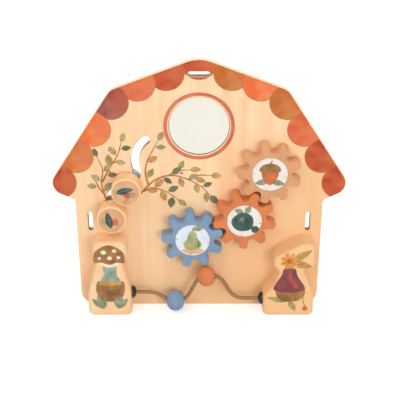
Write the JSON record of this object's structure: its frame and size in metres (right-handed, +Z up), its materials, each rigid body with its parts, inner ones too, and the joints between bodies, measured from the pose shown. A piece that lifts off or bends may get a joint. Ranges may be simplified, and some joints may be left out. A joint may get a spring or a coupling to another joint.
{
  "type": "activity house",
  "caption": "House-shaped upright play board with meshing gears, sliding discs in a curved slot, beads on a bent wire and a round mirror.",
  "frame": {"origin": "on the floor, under the middle of the whole width and depth", "axes": "+X to the right as the child sees it, +Y from the child through the board to its back, +Z up"},
  "size_m": [0.3522, 0.0442, 0.3242],
  "materials": {
    "board_wood": "clear satin varnish over pale wood, vertical grain",
    "block_wood": "clear satin varnish",
    "disc_wood": "clear satin varnish",
    "blue_paint": "matt dusty blue paint on wood",
    "orange_paint": "matt orange paint on wood",
    "tan_paint": "matt tan paint on wood",
    "white_paint": "matt white paint with a printed motif",
    "mirror": "silvered acrylic",
    "wire_coat": "brown plastic-coated steel wire",
    "black_plastic": "moulded black plastic",
    "pale_plastic": "moulded pale grey plastic",
    "screw_steel": "zinc-plated steel"
  },
  "bodies": {
    "house": {"panel": "board_wood", "mirror": "mirror", "left_block": "block_wood", "right_block": "block_wood", "gear_axle_blue": "pale_plastic", "gear_axle_orange": "pale_plastic", "gear_axle_tan": "pale_plastic", "axle_screw_blue": "screw_steel", "axle_screw_orange": "screw_steel", "axle_screw_tan": "screw_steel", "bead_wire": "wire_coat", "wire_cap_left": "black_plastic", "wire_cap_right": "black_plastic", "block_screw_left_low": "screw_steel", "block_screw_left_high": "screw_steel", "block_screw_right_low": "screw_steel", "block_screw_right_high": "screw_steel"},
    "orange_gear": {"gear_orange": "orange_paint", "gear_cap_orange": "white_paint"},
    "blue_gear": {"gear_blue": "blue_paint", "gear_cap_blue": "white_paint"},
    "tan_gear": {"gear_tan": "tan_paint", "gear_cap_tan": "white_paint"},
    "upper_slider": {"slider_bush_upper": "pale_plastic", "slider_washer_upper": "pale_plastic"},
    "upper_disc": {"slider_disc_upper": "disc_wood", "slider_screw_upper": "screw_steel"},
    "lower_slider": {"slider_bush_lower": "pale_plastic", "slider_washer_lower": "pale_plastic"},
    "lower_disc": {"slider_disc_lower": "disc_wood", "slider_screw_lower": "screw_steel"},
    "blue_bead": {"bead_blue": "blue_paint"},
    "orange_bead": {"bead_orange": "orange_paint"}
  },
  "joints": [
    {"name": "orange_gear_spin", "type": "hinge", "parent": "house", "child": "orange_gear", "pos_m": [0.0547, 0.0059, 0.1274], "axis": [0, -1, 0], "continuous": true},
    {"name": "blue_gear_spin", "type": "hinge", "parent": "house", "child": "blue_gear", "pos_m": [-0.00803, 0.0059, 0.10116], "axis": [0, -1, 0], "continuous": true},
    {"name": "tan_gear_spin", "type": "hinge", "parent": "house", "child": "tan_gear", "pos_m": [0.08344, 0.0059, 0.18903], "axis": [0, -1, 0], "continuous": true},
    {"name": "upper_slider_run", "type": "hinge", "parent": "house", "child": "upper_slider", "pos_m": [-0.0938, 0.0059, 0.1861], "axis": [0, -1, 0], "range_deg": [-8, 81]},
    {"name": "upper_disc_spin", "type": "hinge", "parent": "upper_slider", "child": "upper_disc", "pos_m": [-0.08638, 0.0059, 0.16828], "axis": [0, -1, 0], "continuous": true},
    {"name": "lower_slider_run", "type": "hinge", "parent": "house", "child": "lower_slider", "pos_m": [-0.08406, 0.0059, 0.14391], "axis": [0, 1, 0], "range_deg": [0, 8]},
    {"name": "lower_disc_spin", "type": "hinge", "parent": "lower_slider", "child": "lower_disc", "pos_m": [-0.10484, 0.0059, 0.13191], "axis": [0, -1, 0], "continuous": true},
    {"name": "blue_bead_run", "type": "hinge", "parent": "house", "child": "blue_bead", "pos_m": [-0.02971, -0.0091, 0.0327], "axis": [0, -1, 0], "range_deg": [-30, 45]},
    {"name": "orange_bead_run", "type": "hinge", "parent": "house", "child": "orange_bead", "pos_m": [0.01334, -0.0091, 0.03204], "axis": [0, -1, 0], "range_deg": [-55, 45]}
  ],
  "couplings": [
    {"joint": "blue_gear_spin", "follows": "orange_gear_spin", "ratio": -1},
    {"joint": "tan_gear_spin", "follows": "orange_gear_spin", "ratio": -1}
  ]
}
